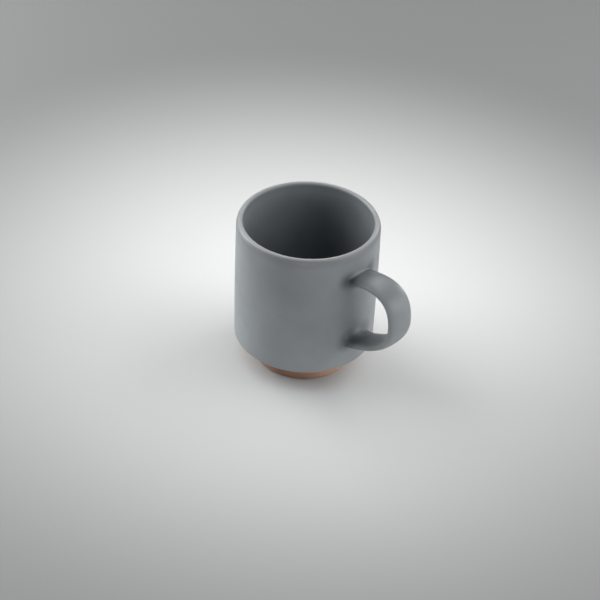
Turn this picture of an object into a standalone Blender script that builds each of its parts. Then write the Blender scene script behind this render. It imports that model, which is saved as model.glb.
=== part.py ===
"""A stoneware mug: fired clay cup and strap handle, two slip joints and three coats of glaze.

Metres, +Z up. The foot stands on z = 0 and the handle points along +X. The origin is the bottom
centre of the whole mug's box, so the cup's own axis stands at x = CUP_AXIS_X.

Each coat of glaze is a skin laid over the clay: SKIN thick, with GAP between it and the clay, so the
clay lies COAT under the surface that is seen and touched. Only the foot is bare clay.
"""

import math

import bmesh
import bpy
from mathutils import Matrix, Vector

NAME = "stoneware_mug"

# Cup, outside: the glazed surface.
HEIGHT = 0.0907
WALL_RADIUS = 0.0400
BELLY = 0.0002            # how far the middle of the wall swells past WALL_RADIUS
LIP_DROP = 0.0042         # height over which the outer edge of the lip rounds off
LIP_INSET = 0.0023        # how far that rounding moves in
SHOULDER_TOP = 0.0156
SHOULDER_BOTTOM = 0.0097
SHOULDER_POWER = 1.6      # superellipse power: 2 is an ellipse, 1 a straight chamfer

# Cup, inside.
WALL_THICKNESS = 0.0037
LIP_INNER_DROP = 0.0016
FLOOR_TOP = 0.0113
FLOOR_RADIUS = 0.0200     # flat part of the floor
CORNER_TOP = 0.0240       # where the floor's curve has become the straight wall

# Foot: bare clay.
FOOT_RADIUS = 0.0285
FOOT_EDGE = 0.0013
FOOT_RING = 0.0043        # width of the ring that the mug stands on
RECESS_DEPTH = 0.0045
RECESS_SLOPE = 0.0018
GLAZE_LINE = 0.0088

# Coats.
SKIN = 0.0005
GAP = 0.0003
COAT = SKIN + GAP

# Handle: a strap of superellipse section along two Bezier arcs, from root to tip to root.
STRAP_WIDTH = 0.0169
STRAP_THICKNESS = 0.0054
STRAP_POWER = 2.4
ROOT_RADIUS = 0.0390      # the centre line starts and ends this far from the cup's axis
UPPER_ROOT = 0.0734       # and at these heights
LOWER_ROOT = 0.0297
REACH = 0.0704            # centre line's greatest distance from the cup's axis
REACH_HEIGHT = 0.0572
UPPER_LEAD = 0.0058       # handle lengths of the Bezier arcs
UPPER_ARC = 0.0268
LOWER_ARC = 0.0188
LOWER_LEAD = 0.0052
LOWER_RISE = math.radians(21.6)
UPPER_SWELL = -0.0010     # how much thicker the half facing the finger gap gets along each arc
LOWER_SWELL = 0.0007
INNER_FLARE = 0.0036      # how far that half spreads where it meets the wall
INNER_FLARE_LENGTH = 0.0070
FLARE = 0.0005            # how far the other sides spread there
FLARE_LENGTH = 0.0025     # distance from the wall over which they do so

SLIP_THICKNESS = 0.0007
ROOT_DEPTH = 0.0030       # how far the uncut strap reaches into the wall

WALL_FACE = WALL_RADIUS + BELLY
CUP_AXIS_X = (WALL_FACE - REACH - STRAP_THICKNESS / 2) / 2

TURN_STEPS = 48
OUTER_ROWS = 4
INNER_ROWS = 2
LIP_STEPS = 4
CORNER_STEPS = 6
EDGE_STEPS = 3
ARC_STEPS = 12
ROOT_BIAS = 1.3           # above 1, the strap's stations crowd towards its roots
SECTION_POINTS = 20
WELD = 0.00001


def clear_scene():
    for obj in list(bpy.data.objects):
        bpy.data.objects.remove(obj, do_unlink=True)


def make_collection(name):
    group = bpy.data.collections.new(name)
    bpy.context.scene.collection.children.link(group)
    return group


def make_material(name, color, roughness):
    material = bpy.data.materials.new(name)
    material.use_nodes = True
    shader = material.node_tree.nodes["Principled BSDF"]
    shader.inputs["Base Color"].default_value = (*color, 1.0)
    shader.inputs["Roughness"].default_value = roughness
    shader.inputs["Metallic"].default_value = 0.0
    return material


# Outlines of the cup, as (radius, height).

def quarter(start, end, power, steps, flat_first):
    """Points of a superellipse quarter from start to end, both included.

    flat_first says that the curve leaves start level and reaches end upright.
    """
    points = []
    for step in range(steps + 1):
        angle = math.pi / 2 * step / steps
        rise = 1 - math.cos(angle) ** (2 / power)
        run = math.sin(angle) ** (2 / power)
        u, v = (run, rise) if flat_first else (rise, run)
        points.append((start[0] + (end[0] - start[0]) * u, start[1] + (end[1] - start[1]) * v))
    return points


def inner_wall():
    """From the axis out over the floor and up the inside to where the lip starts."""
    radius = WALL_RADIUS - WALL_THICKNESS
    lip_foot = HEIGHT - LIP_INNER_DROP
    points = [(0.0, FLOOR_TOP), (FLOOR_RADIUS / 2, FLOOR_TOP)]
    points += quarter((FLOOR_RADIUS, FLOOR_TOP), (radius, CORNER_TOP), 2.0, CORNER_STEPS, True)
    for row in range(1, INNER_ROWS + 1):
        points.append((radius, CORNER_TOP + (lip_foot - CORNER_TOP) * row / INNER_ROWS))
    return points


def outer_wall():
    """From the end of the inner wall over the lip and down the outside to the shoulder's end."""
    crown = (WALL_RADIUS - LIP_INSET, HEIGHT)
    lip_foot = (WALL_RADIUS, HEIGHT - LIP_DROP)
    shoulder_head = (WALL_RADIUS, SHOULDER_TOP)
    shoulder_foot = (FOOT_RADIUS + COAT, SHOULDER_BOTTOM)
    points = quarter(inner_wall()[-1], crown, 2.0, LIP_STEPS, False)[:-1]
    points += quarter(crown, lip_foot, 2.0, LIP_STEPS, True)
    for row in range(1, OUTER_ROWS):
        share = row / OUTER_ROWS
        swell = BELLY * math.sin(math.pi * share)
        points.append((WALL_RADIUS + swell, lip_foot[1] + (SHOULDER_TOP - lip_foot[1]) * share))
    points += quarter(shoulder_head, shoulder_foot, SHOULDER_POWER, CORNER_STEPS, False)
    return points


def foot_outline():
    """From the top of the bare foot down, under the ring and up into the recess to the axis."""
    ring_inner = FOOT_RADIUS - FOOT_RING
    recess_radius = ring_inner - RECESS_SLOPE
    points = [(FOOT_RADIUS, SHOULDER_BOTTOM + COAT), (FOOT_RADIUS, SHOULDER_BOTTOM / 2)]
    edge_end = (FOOT_RADIUS - FOOT_EDGE, 0.0)
    points += quarter((FOOT_RADIUS, FOOT_EDGE), edge_end, 2.0, EDGE_STEPS, False)
    points += quarter((ring_inner, 0.0), (recess_radius, RECESS_DEPTH), 2.0, EDGE_STEPS, False)
    points += [(recess_radius / 2, RECESS_DEPTH), (0.0, RECESS_DEPTH)]
    return points


def inset(outline, depth):
    """The outline moved to its right-hand side by depth, seen along its own direction.

    Points on the axis stay there.
    """
    moved = []
    last = len(outline) - 1
    for index, (radius, height) in enumerate(outline):
        before = outline[max(index - 1, 0)]
        after = outline[min(index + 1, last)]
        run, rise = after[0] - before[0], after[1] - before[1]
        length = math.hypot(run, rise)
        new_radius = radius + rise / length * depth
        if radius < WELD:
            new_radius = 0.0
        moved.append((new_radius, height - run / length * depth))
    return moved


# Solids.

def turned(name, outline, group, material):
    """A solid of revolution about the cup's axis: an outline with a Screw modifier."""
    mesh = bpy.data.meshes.new(name)
    points = [(radius, 0.0, height) for radius, height in outline]
    edges = [(index, index + 1) for index in range(len(points) - 1)]
    if outline[0][0] > WELD:
        edges.append((len(points) - 1, 0))
    mesh.from_pydata(points, edges, [])
    obj = bpy.data.objects.new(name, mesh)
    obj.location.x = CUP_AXIS_X
    group.objects.link(obj)
    obj.data.materials.append(material)
    screw = obj.modifiers.new("turn", "SCREW")
    screw.axis = "Z"
    screw.angle = math.tau
    screw.steps = TURN_STEPS
    screw.render_steps = TURN_STEPS
    screw.use_merge_vertices = True
    screw.merge_threshold = WELD
    screw.use_normal_calculate = True
    screw.use_smooth_shade = True
    return obj


def bezier(points, share):
    """Place and direction at a share of a cubic Bezier arc with these four points."""
    a, b, c, d = points
    rest = 1 - share
    place = a * rest**3 + b * 3 * rest**2 * share + c * 3 * rest * share**2 + d * share**3
    heading = (b - a) * rest**2 + (c - b) * 2 * rest * share + (d - c) * share**2
    return place, heading.normalized()


def strap_centre_line():
    """Stations (place, direction, swell) from inside the wall at the top to inside it below."""
    upper_root = Vector((ROOT_RADIUS, 0, UPPER_ROOT))
    lower_root = Vector((ROOT_RADIUS, 0, LOWER_ROOT))
    tip = Vector((REACH, 0, REACH_HEIGHT))
    out_top = Vector((1, 0, 0))
    out_bottom = Vector((math.cos(LOWER_RISE), 0, math.sin(LOWER_RISE)))
    up = Vector((0, 0, 1))
    upper = (upper_root, upper_root + out_top * UPPER_LEAD, tip + up * UPPER_ARC, tip)
    lower = (tip, tip - up * LOWER_ARC, lower_root + out_bottom * LOWER_LEAD, lower_root)
    shares = [(step / ARC_STEPS) ** ROOT_BIAS for step in range(ARC_STEPS + 1)]
    stations = [(upper_root - out_top * ROOT_DEPTH, out_top, 0.0)]
    for share in shares:
        stations.append((*bezier(upper, share), UPPER_SWELL * math.sin(math.pi * share) ** 2))
    for share in reversed(shares[:-1]):
        stations.append((*bezier(lower, 1 - share), LOWER_SWELL * math.sin(math.pi * share) ** 2))
    stations.append((lower_root - out_bottom * ROOT_DEPTH, -out_bottom, 0.0))
    return stations


def flare(place, height, length):
    """How much the strap has spread at this place, if it spreads by height at the wall."""
    clear = (place.x - WALL_RADIUS) / length
    return height * (1 - min(max(clear, 0.0), 1.0)) ** 2


def strap_ring(place, heading, swell, depth):
    """Corner points of the strap's section, inset by depth, square to its heading."""
    across = Vector((0, 1, 0))
    inward = across.cross(heading)
    side_flare = flare(place, FLARE, FLARE_LENGTH)
    inner_flare = flare(place, INNER_FLARE, INNER_FLARE_LENGTH)
    half_width = STRAP_WIDTH / 2 + side_flare - depth
    outer_half = STRAP_THICKNESS / 2 + side_flare - depth
    inner_half = STRAP_THICKNESS / 2 + swell + inner_flare - depth
    ring = []
    for index in range(SECTION_POINTS):
        angle = math.tau * (index + 0.5) / SECTION_POINTS
        cos, sin = math.cos(angle), math.sin(angle)
        side = math.copysign(abs(cos) ** (2 / STRAP_POWER), cos) * half_width
        face = math.copysign(abs(sin) ** (2 / STRAP_POWER), sin)
        face *= inner_half if face > 0 else outer_half
        ring.append(place + across * side + inward * face)
    return ring


def lofted(name, rings, is_sleeve, group, material):
    """A skin over rings of equal count: a plug with two caps, or a sleeve back to its first ring."""
    bm = bmesh.new()
    rows = [[bm.verts.new(point) for point in ring] for ring in rings]
    following_rows = rows[1:]
    if is_sleeve:
        following_rows.append(rows[0])
    else:
        bm.faces.new(rows[0])
        bm.faces.new(rows[-1])
    for row, following in zip(rows, following_rows):
        for index in range(len(row)):
            near = index - 1
            bm.faces.new((row[near], row[index], following[index], following[near]))
    bmesh.ops.recalc_face_normals(bm, faces=bm.faces)
    mesh = bpy.data.meshes.new(name)
    bm.to_mesh(mesh)
    bm.free()
    mesh.shade_smooth()
    mesh.set_sharp_from_angle(angle=math.radians(40))
    obj = bpy.data.objects.new(name, mesh)
    obj.location.x = CUP_AXIS_X
    group.objects.link(obj)
    obj.data.materials.append(material)
    return obj


def strap_rings(depth):
    """The whole strap, still reaching into the wall at both ends, inset by depth."""
    return [strap_ring(*station, depth) for station in strap_centre_line()]


def strap_root(name, at_top, depth, group, material):
    """A short straight piece of the strap's section at one root, running through the wall."""
    stations = strap_centre_line()
    place, heading, swell = stations[1] if at_top else stations[-2]
    ring = strap_ring(place, heading, swell, depth)
    rings = []
    for shift in (-ROOT_DEPTH, ROOT_DEPTH):
        rings.append([point + heading * shift for point in ring])
    return lofted(name, rings, False, group, material)


def cylinder(name, radius, group):
    """A cutter about the cup's axis whose flats touch the radius."""
    steps = TURN_STEPS * 2
    corner_radius = radius / math.cos(math.pi / steps)
    middle = Matrix.Translation((CUP_AXIS_X, 0, HEIGHT / 2))
    bm = bmesh.new()
    bmesh.ops.create_cone(bm, cap_ends=True, segments=steps, radius1=corner_radius,
                          radius2=corner_radius, depth=HEIGHT * 2, matrix=middle)
    mesh = bpy.data.meshes.new(name)
    bm.to_mesh(mesh)
    bm.free()
    obj = bpy.data.objects.new(name, mesh)
    group.objects.link(obj)
    obj.hide_render = True
    obj.display_type = "WIRE"
    return obj


def cut(obj, cutter, operation):
    boolean = obj.modifiers.new(operation.lower(), "BOOLEAN")
    boolean.operation = operation
    boolean.solver = "EXACT"
    boolean.object = cutter


# Sub-parts.

def build_clay_cup(group, material):
    glazed = inset(inner_wall() + outer_wall()[1:], COAT)
    return turned("clay_cup", glazed + foot_outline(), group, material)


def build_outer_glaze(group, material, cutters):
    """Over the lip and down the outside, ending in a bead on the foot."""
    wall = outer_wall()
    foot_face = FOOT_RADIUS + GAP
    bead = quarter(wall[-1], (foot_face, GLAZE_LINE), 2.0, EDGE_STEPS, False)[1:]
    back = inset(wall, SKIN)
    heel = (foot_face, back[-1][1])
    obj = turned("outer_glaze", wall + bead + [heel] + back[::-1], group, material)
    for cutter in cutters:
        cut(obj, cutter, "DIFFERENCE")
    return obj


def build_inner_glaze(group, material):
    """The liner, from the middle of the floor up to the lip."""
    face = inner_wall()
    top_radius, top_height = face[-1]
    face[-1] = (top_radius, top_height - GAP)
    back = inset(face, SKIN)
    return turned("inner_glaze", face + back[::-1], group, material)


def build_clay_handle(group, material, cutter):
    obj = lofted("clay_handle", strap_rings(COAT), False, group, material)
    cut(obj, cutter, "DIFFERENCE")
    return obj


def build_handle_glaze(group, material, cutter):
    rings = strap_rings(0.0) + strap_rings(SKIN)[::-1]
    obj = lofted("handle_glaze", rings, True, group, material)
    cut(obj, cutter, "DIFFERENCE")
    return obj


def build_slip_joint(name, at_top, group, material, inner, outer):
    obj = strap_root(name, at_top, COAT, group, material)
    cut(obj, inner, "DIFFERENCE")
    cut(obj, outer, "INTERSECT")
    return obj


def main():
    clear_scene()
    parts = make_collection(NAME)
    cutters = make_collection(NAME + "_cutters")
    clay = make_material("bare_clay", (0.37, 0.22, 0.155), 0.85)
    slip = make_material("fired_slip", (0.35, 0.225, 0.16), 0.90)
    glaze = make_material("grey_glaze", (0.245, 0.265, 0.28), 0.45)
    liner = make_material("liner_glaze", (0.21, 0.23, 0.25), 0.45)

    slip_inner = WALL_FACE - SKIN
    slip_outer = slip_inner + SLIP_THICKNESS
    inner_cutter = cylinder("slip_inner_cutter", slip_inner, cutters)
    outer_cutter = cylinder("slip_outer_cutter", slip_outer, cutters)
    clay_cutter = cylinder("clay_handle_cutter", slip_outer + GAP, cutters)
    glaze_cutter = cylinder("handle_glaze_cutter", WALL_FACE + GAP, cutters)

    root_cutters = []
    for name, at_top in (("upper_root_cutter", True), ("lower_root_cutter", False)):
        cutter = strap_root(name, at_top, COAT - GAP, cutters, clay)
        cutter.hide_render = True
        cutter.display_type = "WIRE"
        root_cutters.append(cutter)

    build_clay_cup(parts, clay)
    build_clay_handle(parts, clay, clay_cutter)
    build_slip_joint("upper_slip_joint", True, parts, slip, inner_cutter, outer_cutter)
    build_slip_joint("lower_slip_joint", False, parts, slip, inner_cutter, outer_cutter)
    build_outer_glaze(parts, glaze, root_cutters)
    build_inner_glaze(parts, liner)
    build_handle_glaze(parts, glaze, glaze_cutter)


main()
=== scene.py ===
"""A stoneware mug in satin grey glaze, with a strap handle and a foot of bare clay.

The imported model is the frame: its boxes give the cup's axis, its height and the reach of the
handle. The three coats of glaze and the clay cup are rebuilt here as fine meshes of the same
outlines. The strap's clay and the two slip joints, which the glaze hides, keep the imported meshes.
Clay and glaze get their grain, colour and sheen from procedural materials.
"""

import math

import bpy
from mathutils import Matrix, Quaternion, Vector, noise


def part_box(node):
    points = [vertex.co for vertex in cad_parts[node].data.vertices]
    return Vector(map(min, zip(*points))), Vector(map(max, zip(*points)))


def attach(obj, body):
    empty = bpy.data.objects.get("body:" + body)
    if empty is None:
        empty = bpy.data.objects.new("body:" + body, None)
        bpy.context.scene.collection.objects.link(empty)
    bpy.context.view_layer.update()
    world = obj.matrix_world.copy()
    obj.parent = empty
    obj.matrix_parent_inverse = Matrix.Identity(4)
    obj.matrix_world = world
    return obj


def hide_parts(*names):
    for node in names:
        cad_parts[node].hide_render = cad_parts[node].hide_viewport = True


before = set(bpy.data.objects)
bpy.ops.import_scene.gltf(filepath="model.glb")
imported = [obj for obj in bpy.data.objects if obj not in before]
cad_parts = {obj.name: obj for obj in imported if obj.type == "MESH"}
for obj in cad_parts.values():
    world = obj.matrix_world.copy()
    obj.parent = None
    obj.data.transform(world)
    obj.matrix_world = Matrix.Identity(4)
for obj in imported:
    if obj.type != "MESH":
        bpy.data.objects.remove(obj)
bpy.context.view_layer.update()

# From the frame.
coat_low, coat_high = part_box("outer_glaze")
_, strap_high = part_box("handle_glaze")
AXIS = Vector((coat_low.x + coat_high.y, 0.0, 0.0))
HEIGHT = coat_high.z
WALL_FACE = coat_high.y           # widest radius of the glazed wall
STRAP_TIP = strap_high.x - AXIS.x
MIDDLE = AXIS + Vector((0, 0, HEIGHT / 2))

# Cup, as in the CAD model.
BELLY = 0.0002
WALL_RADIUS = WALL_FACE - BELLY
LIP_DROP = 0.0042
LIP_INSET = 0.0023
LIP_INNER_DROP = 0.0016
SHOULDER_TOP = 0.0156
SHOULDER_BOTTOM = 0.0097
SHOULDER_POWER = 1.6
WALL_THICKNESS = 0.0037
FLOOR_TOP = 0.0113
FLOOR_RADIUS = 0.0200
CORNER_TOP = 0.0240
FOOT_RADIUS = 0.0285
FOOT_EDGE = 0.0013
FOOT_RING = 0.0043
RECESS_DEPTH = 0.0045
RECESS_SLOPE = 0.0018
GLAZE_LINE = 0.0088
COAT = 0.0005                     # thickness of the glaze
WAVER_SIZE = 0.021                # the glazed wall is uneven at this scale
WAVER_DEPTH = 0.00003

# Strap handle.
STRAP_WIDTH = 0.0169
STRAP_THICKNESS = 0.0054
STRAP_POWER = 2.4
ROOT_RADIUS = 0.0390              # its centre line starts and ends this far from the axis
UPPER_ROOT = 0.0734
LOWER_ROOT = 0.0297
REACH = STRAP_TIP - STRAP_THICKNESS / 2
REACH_HEIGHT = 0.0572
UPPER_LEAD = 0.0058
UPPER_ARC = 0.0268
LOWER_ARC = 0.0188
LOWER_LEAD = 0.0052
LOWER_RISE = math.radians(21.6)
UPPER_SWELL = -0.0010             # how much thicker the inner half gets along each arc
LOWER_SWELL = 0.0007
INNER_FILLET = 0.0080             # radius with which each side runs out onto the wall
FLANK_FILLET = 0.0011
OUTER_FILLET = 0.0014
COAT_FILLETS = 0.75               # fillets of the coat's underside, against those outside
SINK = 0.00002                    # how far its edge dips under the wall's surface

# Painted shade in the corners beside the strap's ends, darkening the glaze there, as places and
# radii.
PAINTED_ROOT_SHADES = [((AXIS.x + 0.0395, 0.0088, 0.0742), 0.0080),
           ((AXIS.x + 0.0400, 0.0056, 0.0324), 0.0100)]

# Bands of painted shade and painted highlight on the glaze, measured down from the top or up from its
# lower edge.
RIM_HIGHLIGHT_BAND = (0.0009, 0.0001)
LIP_SHADE_BAND = (0.0060, 0.0020)
BEAD_HIGHLIGHT_RISE = 0.0004

# Mesh.
TURN_STEPS = 288
SECTION_POINTS = 72
STRAP_ROWS = 120
FILLET_ROWS = 16
CREASE = math.radians(35)         # edges that bend more than this stay sharp

# The table's colour holds a painted pool of light: palest a little behind the mug and darker away
# from there.
TABLE_COLOR = (0.545, 0.551, 0.551)
TABLE_PAINTED_SHADE_COLOR = (0.17, 0.172, 0.172)
PALE_SHIFT = 0.05
PALE_RADIUS = 0.02
DARK_RADIUS = 0.32

# What is seen past the table's edge; it sheds no light.
BACKDROP_COLOR = (0.97, 0.98, 1.0, 1.0)
BACKDROP_STRENGTH = 0.20

# Camera.
CAMERA_DISTANCE = 0.9426
CAMERA_AZIMUTH = math.radians(43.1)
CAMERA_ELEVATION = 36.6           # degrees, as around() takes it
CAMERA_ROLL = math.radians(2.75)
CAMERA_PAN = math.radians(0.171)
CAMERA_TILT = math.radians(0.508)
LENS = 100.0
SENSOR = 36.0


# Outlines, as (radius, height) pairs.

def quarter(start, end, power, steps, flat_first):
    """A superellipse quarter from start to end; flat_first leaves start level."""
    points = []
    for step in range(steps + 1):
        angle = math.pi / 2 * step / steps
        rise = 1 - math.cos(angle) ** (2 / power)
        run = math.sin(angle) ** (2 / power)
        u, v = (run, rise) if flat_first else (rise, run)
        points.append((start[0] + (end[0] - start[0]) * u, start[1] + (end[1] - start[1]) * v))
    return points


def straight(start, end, steps):
    """Evenly spaced points from start to end, without either."""
    points = []
    for step in range(1, steps):
        share = step / steps
        points.append(tuple(a + (b - a) * share for a, b in zip(start, end)))
    return points


def wall_radius(height):
    """Radius of the glazed outside at a height between the shoulder and the lip."""
    share = (height - SHOULDER_TOP) / (HEIGHT - LIP_DROP - SHOULDER_TOP)
    return WALL_RADIUS + BELLY * math.sin(math.pi * min(max(share, 0.0), 1.0))


def inside_outline():
    """From the axis over the floor and up the inside to where the lip starts."""
    radius = WALL_RADIUS - WALL_THICKNESS
    floor_end = (FLOOR_RADIUS, FLOOR_TOP)
    corner_end = (radius, CORNER_TOP)
    lip_foot = (radius, HEIGHT - LIP_INNER_DROP)
    points = [(0.0, FLOOR_TOP)] + straight((0.0, FLOOR_TOP), floor_end, 16)
    points += quarter(floor_end, corner_end, 2.0, 28, True)
    points += straight(corner_end, lip_foot, 40) + [lip_foot]
    return points


def outside_outline():
    """From where the inside ends, over the lip and down the wall to the shoulder's end."""
    crown = (WALL_RADIUS - LIP_INSET, HEIGHT)
    lip_foot = (WALL_RADIUS, HEIGHT - LIP_DROP)
    shoulder_head = (WALL_RADIUS, SHOULDER_TOP)
    shoulder_foot = (FOOT_RADIUS + COAT, SHOULDER_BOTTOM)
    points = quarter(inside_outline()[-1], crown, 2.0, 12, False)[:-1]
    points += quarter(crown, lip_foot, 2.0, 18, True)
    for _, height in straight(lip_foot, shoulder_head, 56):
        points.append((wall_radius(height), height))
    points += quarter(shoulder_head, shoulder_foot, SHOULDER_POWER, 32, False)
    return points


def inset(outline, depth):
    """The outline moved to its right-hand side by depth; points on the axis stay there."""
    moved = []
    last = len(outline) - 1
    for index, (radius, height) in enumerate(outline):
        before = outline[max(index - 1, 0)]
        after = outline[min(index + 1, last)]
        run, rise = after[0] - before[0], after[1] - before[1]
        length = math.hypot(run, rise)
        new_radius = radius + rise / length * depth if radius > 0 else 0.0
        moved.append((new_radius, height - run / length * depth))
    return moved


# Meshes.

def new_piece(name, vertices, faces, material):
    mesh = bpy.data.meshes.new(name)
    mesh.from_pydata(vertices, [], faces)
    mesh.validate()
    mesh.shade_smooth()
    mesh.set_sharp_from_angle(angle=CREASE)
    piece = bpy.data.objects.new(name, mesh)
    bpy.context.scene.collection.objects.link(piece)
    mesh.materials.append(material)
    return piece


def lathe(name, outline, material, shift=None):
    """Turns an outline about the cup's axis.

    An outline that starts off the axis is a closed ring. shift, if given, takes a point and
    returns it moved a little.
    """
    ring = outline[0][0] > 0
    vertices, rows = [], []
    for radius, height in outline:
        row = []
        count = TURN_STEPS if radius > 0 else 1
        for step in range(count):
            angle = math.tau * step / count
            place = Vector((radius * math.cos(angle), radius * math.sin(angle), height))
            if shift:
                place = shift(place)
            row.append(len(vertices))
            vertices.append(place + AXIS)
        rows.append(row)
    faces = []
    pairs = list(zip(rows, rows[1:]))
    if ring:
        pairs.append((rows[-1], rows[0]))
    for row, following in pairs:
        for step in range(TURN_STEPS):
            after = (step + 1) % TURN_STEPS
            if len(row) == 1:
                faces.append((row[0], following[after], following[step]))
            elif len(following) == 1:
                faces.append((row[step], row[after], following[0]))
            else:
                faces.append((row[step], row[after], following[after], following[step]))
    return new_piece(name, vertices, faces, material)


def waver(place, size, depth):
    """A gentle unevenness of the surface: depth times a smooth noise of that size."""
    return depth * noise.noise(place / size)


def bezier(points, share):
    a, b, c, d = points
    rest = 1 - share
    place = a * rest**3 + b * 3 * rest**2 * share + c * 3 * rest * share**2 + d * share**3
    heading = (b - a) * rest**2 + (c - b) * 2 * rest * share + (d - c) * share**2
    return place, heading.normalized()


def strap_arcs():
    upper_root = Vector((ROOT_RADIUS, 0, UPPER_ROOT))
    lower_root = Vector((ROOT_RADIUS, 0, LOWER_ROOT))
    tip = Vector((REACH, 0, REACH_HEIGHT))
    out_top = Vector((1, 0, 0))
    out_bottom = Vector((math.cos(LOWER_RISE), 0, math.sin(LOWER_RISE)))
    up = Vector((0, 0, 1))
    upper = (upper_root, upper_root + out_top * UPPER_LEAD, tip + up * UPPER_ARC, tip)
    lower = (tip, tip - up * LOWER_ARC, lower_root + out_bottom * LOWER_LEAD, lower_root)
    return upper, lower


ARCS = strap_arcs()
STRAP_END = 2.0           # the centre line runs from 0 at the upper root to this at the lower
OVERRUN = 0.1             # metres that one unit of the centre line covers past its ends


def centre_line(way):
    """Place and direction on the strap's centre line; past its ends it goes straight on."""
    if way < 0:
        place, heading = bezier(ARCS[0], 0.0)
        return place + heading * way * OVERRUN, heading
    if way > STRAP_END:
        place, heading = bezier(ARCS[1], 1.0)
        return place + heading * (way - STRAP_END) * OVERRUN, heading
    if way <= 1:
        return bezier(ARCS[0], way)
    return bezier(ARCS[1], way - 1)


def swell(way):
    """How much thicker the inner half of the strap is here."""
    if way <= 0 or way >= STRAP_END:
        return 0.0
    height = UPPER_SWELL if way < 1 else LOWER_SWELL
    return height * math.sin(math.pi * way) ** 2


def section(index):
    """A corner of the strap's section, from -1 to 1 across and inward, and its normal."""
    angle = math.tau * index / SECTION_POINTS
    cos, sin = math.cos(angle), math.sin(angle)
    across = math.copysign(abs(cos) ** (2 / STRAP_POWER), cos)
    inward = math.copysign(abs(sin) ** (2 / STRAP_POWER), sin)
    steep = STRAP_POWER - 1
    normal = (math.copysign(abs(across) ** steep, across) / STRAP_WIDTH,
              math.copysign(abs(inward) ** steep, inward) / STRAP_THICKNESS)
    length = math.hypot(*normal)
    return (across, inward), (normal[0] / length, normal[1] / length)


ACROSS = Vector((0, 1, 0))


def strap_point(way, corner, depth):
    """Where this corner of the section is, depth under the strap's surface."""
    place, heading = centre_line(way)
    half_width = STRAP_WIDTH / 2 - depth
    half_thickness = STRAP_THICKNESS / 2 - depth
    if corner[1] > 0:
        half_thickness += swell(way)
    inward = ACROSS.cross(heading)
    return place + ACROSS * corner[0] * half_width + inward * corner[1] * half_thickness


def clearance(place):
    return math.hypot(place.x, place.y) - wall_radius(place.z)


def find_way(corner, depth, target, inner, outer):
    """Where along the strap this corner's line stands target away from the wall."""
    for _ in range(40):
        middle = (inner + outer) / 2
        if clearance(strap_point(middle, corner, depth)) < target:
            inner = middle
        else:
            outer = middle
    return (inner + outer) / 2


def spread(height, radius):
    """How far a fillet of that radius has spread sideways at a height over the wall."""
    rest = max(radius - max(height, 0.0), 0.0)
    return radius - math.sqrt(radius**2 - rest**2)


def strap_line(index, depth, share):
    """One line of the strap's surface, from the wall round the handle and back to the wall.

    share scales the fillets at both ends.
    """
    corner, normal = section(index)
    face_fillet = share * (INNER_FILLET if normal[1] > 0 else OUTER_FILLET)
    flank_fillet = share * FLANK_FILLET
    reach = share * INNER_FILLET
    ends = []
    for inner, outer in ((-0.2, 0.45), (STRAP_END + 0.2, STRAP_END - 0.5)):
        run_out = []
        for row in range(FILLET_ROWS + 1):
            angle = math.pi / 2 * (1 - row / FILLET_ROWS)
            height = reach * (1 - math.sin(angle)) - SINK
            way = find_way(corner, depth, height, inner, outer)
            place = strap_point(way, corner, depth)
            _, heading = centre_line(way)
            along_face = ACROSS * normal[0] * spread(height, flank_fillet)
            off_face = ACROSS.cross(heading) * normal[1] * spread(height, face_fillet)
            place = place + along_face + off_face
            radius = wall_radius(place.z) + height
            flat = Vector((place.x, place.y, 0)).normalized() * radius
            run_out.append(Vector((flat.x, flat.y, place.z)))
        ends.append((run_out, way))
    (upper, start), (lower, stop) = ends
    line = upper
    for row in range(1, STRAP_ROWS):
        line.append(strap_point(start + (stop - start) * row / STRAP_ROWS, corner, depth))
    return line + lower[::-1]


def strap_sleeve(name, material):
    """The glaze around the strap: an outer surface and an inner one, joined at both ends."""
    outer = [strap_line(index, 0.0, 1.0) for index in range(SECTION_POINTS)]
    inner = [strap_line(index, COAT, COAT_FILLETS) for index in range(SECTION_POINTS)]
    lines = []
    for near, far in zip(outer, inner):
        lines.append([place + AXIS for place in near + far[::-1]])
    length = len(lines[0])
    vertices = [place for line in lines for place in line]
    faces = []
    for index in range(SECTION_POINTS):
        side = (index + 1) % SECTION_POINTS
        for row in range(length):
            after = (row + 1) % length
            faces.append((index * length + row, index * length + after,
                          side * length + after, side * length + row))
    return new_piece(name, vertices, faces, material)


# Materials.

def start_material(name):
    material = bpy.data.materials.new(name)
    material.use_nodes = True
    tree = material.node_tree
    return material, tree, tree.nodes["Principled BSDF"]


def add(tree, kind, **values):
    """A node of that kind; values are its properties, or its inputs where it has such a socket."""
    made = tree.nodes.new("ShaderNode" + kind)
    for key, value in values.items():
        label = key.replace("_", " ").title()
        if label in made.inputs:
            made.inputs[label].default_value = value
        else:
            setattr(made, key, value)
    return made


def grain(tree, place, scale, detail, roughness=0.5):
    made = add(tree, "TexNoise", scale=scale, detail=detail, roughness=roughness)
    tree.links.new(place, made.inputs["Vector"])
    return made.outputs["Fac"]


def remap(tree, value, low, high, to_low, to_high):
    made = add(tree, "MapRange")
    made.clamp = True
    tree.links.new(value, made.inputs["Value"])
    made.inputs["From Min"].default_value = low
    made.inputs["From Max"].default_value = high
    made.inputs["To Min"].default_value = to_low
    made.inputs["To Max"].default_value = to_high
    return made.outputs["Result"]


def blend(tree, share, first, second):
    """Mixes two colours by a share; each may be a colour or a socket."""
    made = tree.nodes.new("ShaderNodeMix")
    made.data_type = "RGBA"
    for socket, value in ((made.inputs[0], share), (made.inputs[6], first), (made.inputs[7], second)):
        if isinstance(value, (float, tuple)):
            socket.default_value = (*value, 1.0) if isinstance(value, tuple) else value
        else:
            tree.links.new(value, socket)
    return made.outputs[2]


def tint(color, *factors):
    """The colour times one factor for all channels, or times one for each."""
    if len(factors) == 1:
        factors *= 3
    return tuple(min(1.0, channel * factor) for channel, factor in zip(color, factors))


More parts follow.
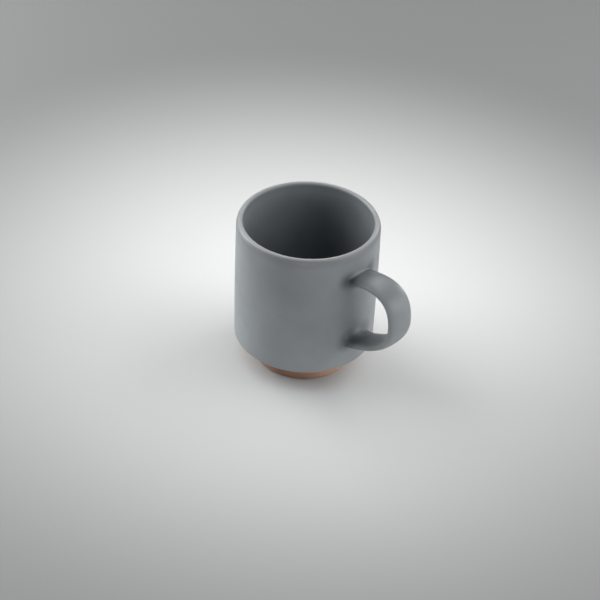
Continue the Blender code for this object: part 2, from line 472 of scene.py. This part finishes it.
def bump(tree, height, distance, below=None):
    made = add(tree, "Bump", strength=1.0, distance=distance)
    tree.links.new(height, made.inputs["Height"])
    if below:
        tree.links.new(below, made.inputs["Normal"])
    return made.outputs["Normal"]


def object_place(tree):
    made = add(tree, "TexCoord")
    return made.outputs["Object"]


def height_of(tree, place):
    made = add(tree, "SeparateXYZ")
    tree.links.new(place, made.inputs["Vector"])
    return made.outputs["Z"]


def root_shade_share(tree, place, centre, radius):
    """Where shade is painted: 1 at the centre and 0 from the radius on, and the same on the strap's
    other side.
    """
    split = add(tree, "SeparateXYZ")
    tree.links.new(place, split.inputs["Vector"])
    side = add(tree, "Math", operation="ABSOLUTE")
    tree.links.new(split.outputs["Y"], side.inputs[0])
    joined = add(tree, "CombineXYZ")
    tree.links.new(split.outputs["X"], joined.inputs["X"])
    tree.links.new(side.outputs["Value"], joined.inputs["Y"])
    tree.links.new(split.outputs["Z"], joined.inputs["Z"])
    distance = add(tree, "VectorMath", operation="DISTANCE")
    tree.links.new(joined.outputs["Vector"], distance.inputs[0])
    distance.inputs[1].default_value = centre
    share = remap(tree, distance.outputs["Value"], 0.0, radius, 1.0, 0.0)
    share.node.interpolation_type = "SMOOTHSTEP"
    return share


def glaze_material(name, color, roughness, root_shades=()):
    material, tree, shader = start_material(name)
    place = object_place(tree)
    drift = grain(tree, place, 38.0, 2.0)
    cloud = grain(tree, place, 260.0, 4.0, 0.6)
    speck = grain(tree, place, 2600.0, 2.0)
    tone = blend(tree, remap(tree, drift, 0.3, 0.7, 0.0, 1.0), tint(color, 0.91), tint(color, 1.10))
    tone = blend(tree, remap(tree, cloud, 0.25, 0.75, 0.0, 0.35), tone, color)
    # Darker tone for the glaze's real specks, and also for the painted shade at the lip.
    speck_and_shade = tint(color, 0.80)
    tone = blend(tree, remap(tree, speck, 0.62, 0.74, 0.0, 0.35), tone, speck_and_shade)
    # Painted shade: the glaze darkens to about a third of its colour in the corners beside the
    # strap's ends.
    for centre, radius in root_shades:
        tone = blend(tree, root_shade_share(tree, place, centre, radius), tone, tint(color, 0.36))
    height = height_of(tree, place)
    # Painted shade: the top of the wall and the lip's outer rounding are darkened.
    lip_shade = remap(tree, height, HEIGHT - LIP_SHADE_BAND[0], HEIGHT - LIP_SHADE_BAND[1], 0.0, 0.6)
    # Painted highlight: a thin pale line along the crest of the lip.
    rim_highlight = remap(tree, height, HEIGHT - RIM_HIGHLIGHT_BAND[0], HEIGHT - RIM_HIGHLIGHT_BAND[1], 0.0, 0.9)
    # Painted highlight: a pale line along the glaze's lower edge, just above the bare foot.
    bead = remap(tree, height, GLAZE_LINE + BEAD_HIGHLIGHT_RISE, SHOULDER_BOTTOM + BEAD_HIGHLIGHT_RISE, 0.7, 0.0)
    # Colour of the painted highlights on the lip's crest and at the glaze's lower edge.
    painted_highlight = tint(color, 1.66, 1.56, 1.50)
    tone = blend(tree, lip_shade, tone, speck_and_shade)
    tone = blend(tree, rim_highlight, tone, painted_highlight)
    tone = blend(tree, bead, tone, painted_highlight)
    tree.links.new(tone, shader.inputs["Base Color"])
    sheen = remap(tree, cloud, 0.3, 0.7, roughness - 0.04, roughness + 0.04)
    tree.links.new(sheen, shader.inputs["Roughness"])
    normal = bump(tree, cloud, 0.00004)
    normal = bump(tree, speck, 0.000012, normal)
    tree.links.new(normal, shader.inputs["Normal"])
    shader.inputs["IOR"].default_value = 1.5
    return material


def clay_material(name, color):
    material, tree, shader = start_material(name)
    place = object_place(tree)
    drift = grain(tree, place, 70.0, 3.0)
    body = grain(tree, place, 520.0, 5.0, 0.65)
    sand = grain(tree, place, 3200.0, 3.0, 0.7)
    lines_place = add(tree, "Mapping")
    lines_place.inputs["Scale"].default_value = (1.0, 1.0, 40.0)
    tree.links.new(place, lines_place.inputs["Vector"])
    turning = grain(tree, lines_place.outputs["Vector"], 42.0, 4.0, 0.6)
    pale = tint(color, 1.22)
    dark = tint(color, 0.78, 0.72, 0.68)
    tone = blend(tree, remap(tree, drift, 0.3, 0.7, 0.0, 1.0), dark, pale)
    tone = blend(tree, remap(tree, body, 0.3, 0.7, 0.15, 0.75), tone, color)
    tone = blend(tree, remap(tree, turning, 0.52, 0.7, 0.0, 0.45), tone, dark)
    tone = blend(tree, remap(tree, sand, 0.60, 0.72, 0.0, 0.55), tone, dark)
    grog = add(tree, "TexVoronoi", scale=900.0, randomness=1.0)
    tree.links.new(place, grog.inputs["Vector"])
    fleck = remap(tree, grog.outputs["Distance"], 0.10, 0.24, 0.5, 0.0)
    tone = blend(tree, fleck, tone, tint(color, 1.6))
    worn = remap(tree, height_of(tree, place), 0.0, 0.0014, 0.35, 0.0)
    tone = blend(tree, worn, tone, pale)
    tree.links.new(tone, shader.inputs["Base Color"])
    tree.links.new(remap(tree, body, 0.3, 0.7, 0.78, 0.92), shader.inputs["Roughness"])
    normal = bump(tree, turning, 0.00012)
    normal = bump(tree, body, 0.00010, normal)
    normal = bump(tree, sand, 0.00004, normal)
    tree.links.new(normal, shader.inputs["Normal"])
    shader.inputs["Specular IOR Level"].default_value = 0.25
    return material


# The mug.

def build_outer_coat(material):
    wall = outside_outline()
    bead = quarter(wall[-1], (FOOT_RADIUS, GLAZE_LINE), 2.0, 8, False)[1:]
    back = inset(wall, COAT)
    heel = (FOOT_RADIUS, back[-1][1])
    outline = wall + bead + [heel] + back[::-1]

    def shift(place):
        radial = Vector((place.x, place.y, 0)).normalized()
        return place + radial * (waver(place, WAVER_SIZE, WAVER_DEPTH) - WAVER_DEPTH)

    return lathe("glaze_outside", outline, material, shift)


def build_inner_coat(material):
    face = inside_outline()
    back = inset(face, COAT)
    return lathe("glaze_inside", face + back[::-1], material)


def build_clay(material):
    glazed = inset(inside_outline() + outside_outline()[1:], COAT + SINK)
    ring_inner = FOOT_RADIUS - FOOT_RING
    recess_radius = ring_inner - RECESS_SLOPE
    foot_top = (FOOT_RADIUS, glazed[-1][1])
    edge_start = (FOOT_RADIUS, FOOT_EDGE)
    outline = glazed + [foot_top] + straight(foot_top, edge_start, 30)
    outline += quarter(edge_start, (FOOT_RADIUS - FOOT_EDGE, 0.0), 2.0, 8, False)
    outline += quarter((ring_inner, 0.0), (recess_radius, RECESS_DEPTH), 2.0, 12, False)
    outline += straight((recess_radius, RECESS_DEPTH), (0.0, RECESS_DEPTH), 16)
    outline.append((0.0, RECESS_DEPTH))
    return lathe("bare_clay_cup", outline, material)


def place_piece(piece, slot, *nodes):
    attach(piece, "root")
    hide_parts(*nodes)


def build_mug():
    glaze = glaze_material("satin_grey_glaze", (0.246, 0.267, 0.281), 0.45, PAINTED_ROOT_SHADES)
    # Painted shade: the liner is the outer glaze made darker and cooler, standing in for the shade
    # inside the cup.
    shaded_liner = glaze_material("satin_grey_liner", (0.216, 0.237, 0.252), 0.45)
    clay = clay_material("bare_clay", (0.400, 0.238, 0.167))
    slip = clay_material("fired_slip", (0.35, 0.225, 0.16))

    place_piece(build_outer_coat(glaze), "grey_glaze", "outer_glaze")
    place_piece(build_inner_coat(shaded_liner), "liner_glaze", "inner_glaze")
    place_piece(strap_sleeve("glaze_handle", glaze), "grey_glaze", "handle_glaze")
    cup = build_clay(clay)
    place_piece(cup, "bare_clay", "clay_cup")
    for node, material in (("clay_handle", clay), ("upper_slip_joint", slip),
                           ("lower_slip_joint", slip)):
        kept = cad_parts[node]
        for spot in kept.material_slots:
            spot.material = material
    return cup


# The stage.

def around(azimuth, elevation, distance):
    """A place seen from the mug's middle: azimuth is 0 at the camera and grows to its right."""
    turn = CAMERA_AZIMUTH + math.radians(azimuth)
    rise = math.radians(elevation)
    flat = math.cos(rise) * distance
    return MIDDLE + Vector((math.sin(turn) * flat, -math.cos(turn) * flat, math.sin(rise) * distance))


def build_floor():
    size = 6.0
    corners = [(-size, -size, 0), (size, -size, 0), (size, size, 0), (-size, size, 0)]
    mesh = bpy.data.meshes.new("floor")
    mesh.from_pydata(corners, [], [(0, 1, 2, 3)])
    floor = bpy.data.objects.new("floor", mesh)
    bpy.context.scene.collection.objects.link(floor)
    material, tree, shader = start_material("pale_table")
    # Painted pool of light: the floor's colour fades into painted shade away from a point behind the
    # mug.
    palest = around(180, 0, PALE_SHIFT)
    distance = add(tree, "VectorMath", operation="DISTANCE")
    tree.links.new(object_place(tree), distance.inputs[0])
    distance.inputs[1].default_value = (palest.x, palest.y, 0.0)
    share = remap(tree, distance.outputs["Value"], PALE_RADIUS, DARK_RADIUS, 0.0, 1.0)
    share.node.interpolation_type = "SMOOTHSTEP"
    tone = blend(tree, share, TABLE_COLOR, TABLE_PAINTED_SHADE_COLOR)
    tree.links.new(tone, shader.inputs["Base Color"])
    shader.inputs["Roughness"].default_value = 0.5
    shader.inputs["Specular IOR Level"].default_value = 0.3
    mesh.materials.append(material)
    return floor


def add_light(name, kind, place, power, receivers):
    data = bpy.data.lights.new(name, kind)
    data.energy = power
    light = bpy.data.objects.new(name, data)
    bpy.context.scene.collection.objects.link(light)
    light.location = place
    light.rotation_mode = "QUATERNION"
    light.rotation_quaternion = (MIDDLE - place).to_track_quat("-Z", "Y")
    light.visible_camera = False
    light.light_linking.receiver_collection = receivers
    return data


def build_panel(name, place, width, height, power, receivers):
    data = add_light(name, "AREA", place, power, receivers)
    data.shape = "RECTANGLE"
    data.size = width
    data.size_y = height


def build_lamp(name, place, radius, cone, power, receivers):
    """A soft round lamp whose light fades towards the edge of its cone."""
    data = add_light(name, "SPOT", place, power, receivers)
    data.shadow_soft_size = radius
    data.spot_size = math.radians(cone)
    data.spot_blend = 1.0


def build_sky(name, place, spread, strength, receivers):
    """Even light from a wide round patch of sky."""
    data = add_light(name, "SUN", place, strength, receivers)
    data.angle = math.radians(spread)


def light_group(name, things, state):
    """What some lights shine on: only these things, or all but these."""
    group = bpy.data.collections.new(name)
    for thing in things:
        group.objects.link(thing)
    for member in group.collection_objects:
        member.light_linking.link_state = state
    return group


def build_lights(low_things):
    """Soft panels and two lamps shape the glazed mug; a sky and a ring of panels light the
    table and the foot that stands on it."""
    mug = light_group("lit_mug", low_things, "EXCLUDE")
    build_panel("left_card", around(-112, 9, 1.2), 0.50, 0.42, 6.9, mug)
    build_panel("left_panel", around(-112, 28, 1.2), 0.50, 0.42, 3.7, mug)
    build_panel("left_high_panel", around(-90, 35, 1.2), 0.50, 0.50, 5.1, mug)
    build_panel("right_back_panel", around(135, 15, 1.2), 0.50, 0.42, 4.4, mug)
    build_panel("right_panel", around(90, 15, 1.2), 0.50, 0.42, 2.4, mug)
    build_panel("right_front_panel", around(60, 30, 1.2), 0.90, 0.90, 6.5, mug)
    build_panel("front_card", around(0, 6, 1.2), 0.50, 0.26, 2.6, mug)
    build_lamp("high_lamp", around(180, 73, 1.04), 0.10, 28, 5.6, mug)
    build_lamp("back_lamp", around(180, 40, 1.17), 0.30, 26, 27.4, mug)

    table = light_group("lit_table", low_things, "INCLUDE")
    build_panel("right_sky", around(75, 14, 1.0), 1.10, 0.40, 7.2, table)
    build_panel("left_sky", around(-115, 14, 1.0), 1.10, 0.40, 10.0, table)
    build_panel("right_back_sky", around(105, 40, 1.0), 1.00, 0.80, 7.6, table)
    build_panel("left_back_sky", around(-110, 42, 1.0), 1.00, 0.80, 6.6, table)
    build_sky("top_sky", around(180, 84, 1.0), 84, 1.75, table)

    world = bpy.data.worlds.new("studio")
    bpy.context.scene.world = world
    world.use_nodes = True
    background = world.node_tree.nodes["Background"]
    background.inputs["Color"].default_value = BACKDROP_COLOR
    background.inputs["Strength"].default_value = BACKDROP_STRENGTH
    world.cycles_visibility.diffuse = False
    world.cycles_visibility.glossy = False


def build_camera():
    data = bpy.data.cameras.new("camera")
    data.lens = LENS
    data.sensor_width = SENSOR
    data.clip_start = 0.05
    data.clip_end = 50.0
    camera = bpy.data.objects.new("camera", data)
    bpy.context.scene.collection.objects.link(camera)
    camera.location = around(0, CAMERA_ELEVATION, CAMERA_DISTANCE)
    back = (camera.location - MIDDLE).normalized()
    look = (-back).to_track_quat("-Z", "Y")
    aim_left = Quaternion((0, 1, 0), CAMERA_PAN)
    aim_down = Quaternion((1, 0, 0), -CAMERA_TILT)
    roll = Quaternion((0, 0, 1), CAMERA_ROLL)
    camera.rotation_mode = "QUATERNION"
    camera.rotation_quaternion = look @ aim_left @ aim_down @ roll
    bpy.context.scene.camera = camera


bpy.context.scene.view_settings.view_transform = "Standard"

clay_cup = build_mug()
build_lights([build_floor(), clay_cup])
build_camera()
